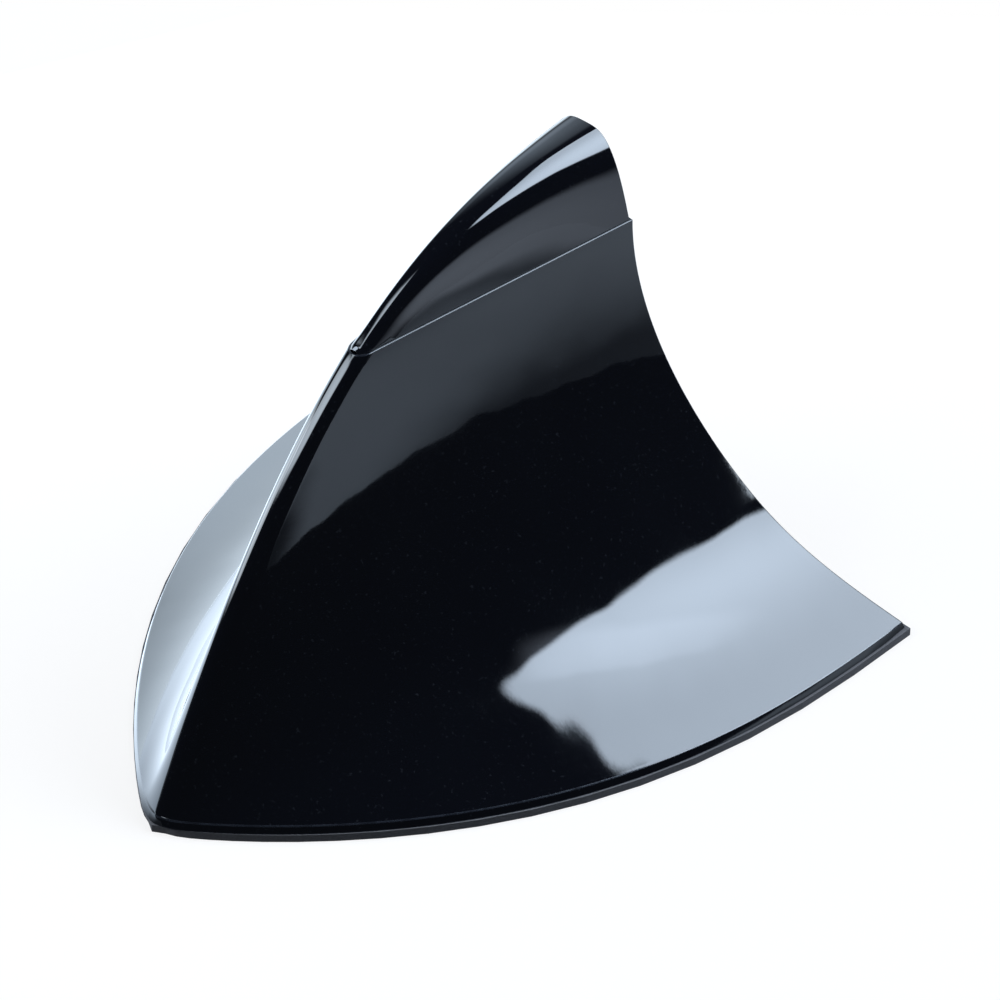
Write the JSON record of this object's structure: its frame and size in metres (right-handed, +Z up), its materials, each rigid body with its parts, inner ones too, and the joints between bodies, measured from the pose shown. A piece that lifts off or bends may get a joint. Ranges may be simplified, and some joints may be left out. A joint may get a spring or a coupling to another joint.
{
  "type": "shark fin aerial",
  "caption": "Car roof aerial in a glossy fin-shaped housing with a separate cap, foam base gasket, amplifier board and coil inside.",
  "frame": {"origin": "middle of the base box, on the underside of the foam gasket, where it meets the car's roof", "axes": "+X towards the tail, along the car, +Y towards the fin's other flank, +Z up from the roof; the fin is alike on both sides of the XZ plane"},
  "size_m": [0.1002, 0.0946, 0.0708],
  "materials": {
    "gloss_shell": "glossy black moulding with a slight blue cast",
    "gloss_cap": "glossy black moulding with a slight blue cast",
    "foam": "closed-cell foam, matt",
    "black_plastic": "moulded, fine grain",
    "sheet_metal": "rolled sheet",
    "rubber": "moulded rubber",
    "board": "green solder mask",
    "tinned_sheet": "tinned steel sheet",
    "chip": "moulded epoxy",
    "plated_brass": "gold plated",
    "white_plastic": "moulded, unpainted",
    "copper_wire": "enamelled copper wire",
    "screw_steel": "zinc plated"
  },
  "bodies": {
    "root": {"lower_shell": "gloss_shell", "top_cap": "gloss_cap", "base_gasket": "foam", "adhesive_pad": "foam", "base_plate": "black_plastic", "ground_plate": "sheet_metal", "cable_grommet": "rubber", "circuit_board": "board", "shield_can": "tinned_sheet", "amplifier_chips": "chip", "coax_socket": "plated_brass", "socket_insulator": "white_plastic", "contact_pin": "plated_brass", "earth_spring": "plated_brass", "element_carrier": "white_plastic", "coil_former": "white_plastic", "helix_coil": "copper_wire", "folded_roof": "tinned_sheet", "damper_pad": "foam", "base_screws": "screw_steel", "board_screws": "screw_steel", "carrier_screw": "screw_steel"}
  },
  "joints": []
}
